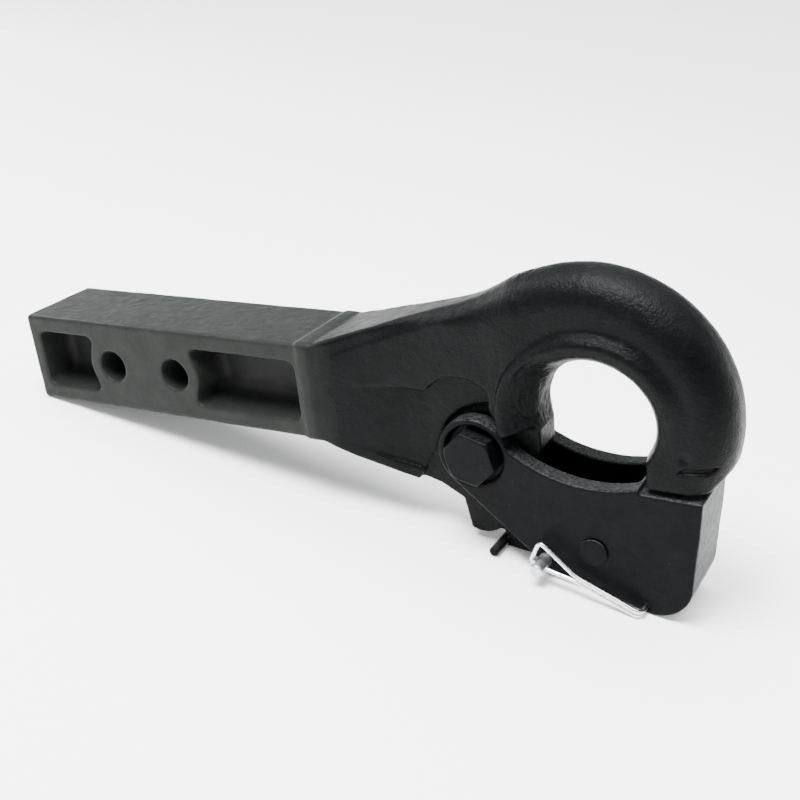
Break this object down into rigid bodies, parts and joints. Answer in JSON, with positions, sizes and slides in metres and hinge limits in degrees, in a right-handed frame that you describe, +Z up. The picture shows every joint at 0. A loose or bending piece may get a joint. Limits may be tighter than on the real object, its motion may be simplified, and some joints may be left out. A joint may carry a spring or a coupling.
{
  "type": "pintle hook, receiver mount",
  "caption": "Forged pintle hook on a square receiver shank, with a hinged latch, a spring lock dog and a safety pin on a wire bail.",
  "frame": {"origin": "bottom centre of the bounding box, with the part lying on its shank's tail edge and the latch's lower corner as in the picture", "axes": "+X from the shank's tail towards the hook's nose, +Y to the nut side of the pivot bolt, +Z up"},
  "size_m": [0.3984, 0.062, 0.1535],
  "materials": {
    "cast_black": "satin",
    "black_bolt": "satin",
    "zinc": "satin",
    "spring_steel": "satin",
    "nylon": "matte"
  },
  "bodies": {
    "hook": {"hook_body": "cast_black"},
    "latch": {"latch_jaw": "cast_black", "pivot_bolt": "black_bolt", "pivot_washer": "zinc", "pivot_nut": "zinc", "nut_insert": "nylon", "dog_rivet": "cast_black", "dog_spring": "spring_steel"},
    "dog": {"lock_dog": "cast_black", "trigger_bar": "cast_black"},
    "pin": {"safety_pin": "zinc"},
    "bail": {"safety_pin_bail": "zinc"}
  },
  "joints": [
    {"name": "latch_open", "type": "hinge", "parent": "hook", "child": "latch", "pos_m": [0.08294, 0, 0.05158], "axis": [0, 1, 0], "range_deg": [0, 75]},
    {"name": "trigger_pull", "type": "hinge", "parent": "latch", "child": "dog", "pos_m": [0.14825, 0, 0.0228], "axis": [0, -1, 0], "range_deg": [0, 8], "stiffness_Nm_per_rad": 0.6, "springref_deg": -17.19, "deforming": ["dog_spring"]},
    {"name": "pin_slide", "type": "slide", "parent": "latch", "child": "pin", "axis": [0, -1, 0], "range_m": [0, 0.0391]},
    {"name": "bail_swing", "type": "hinge", "parent": "pin", "child": "bail", "pos_m": [0.12562, -0.0252, 0.00941], "axis": [-0.9803, 0, 0.1977], "range_deg": [0, 65]}
  ],
  "couplings": [
    {"joint": "pin_slide", "follows": "bail_swing", "m_per_rad": 0.034377}
  ]
}
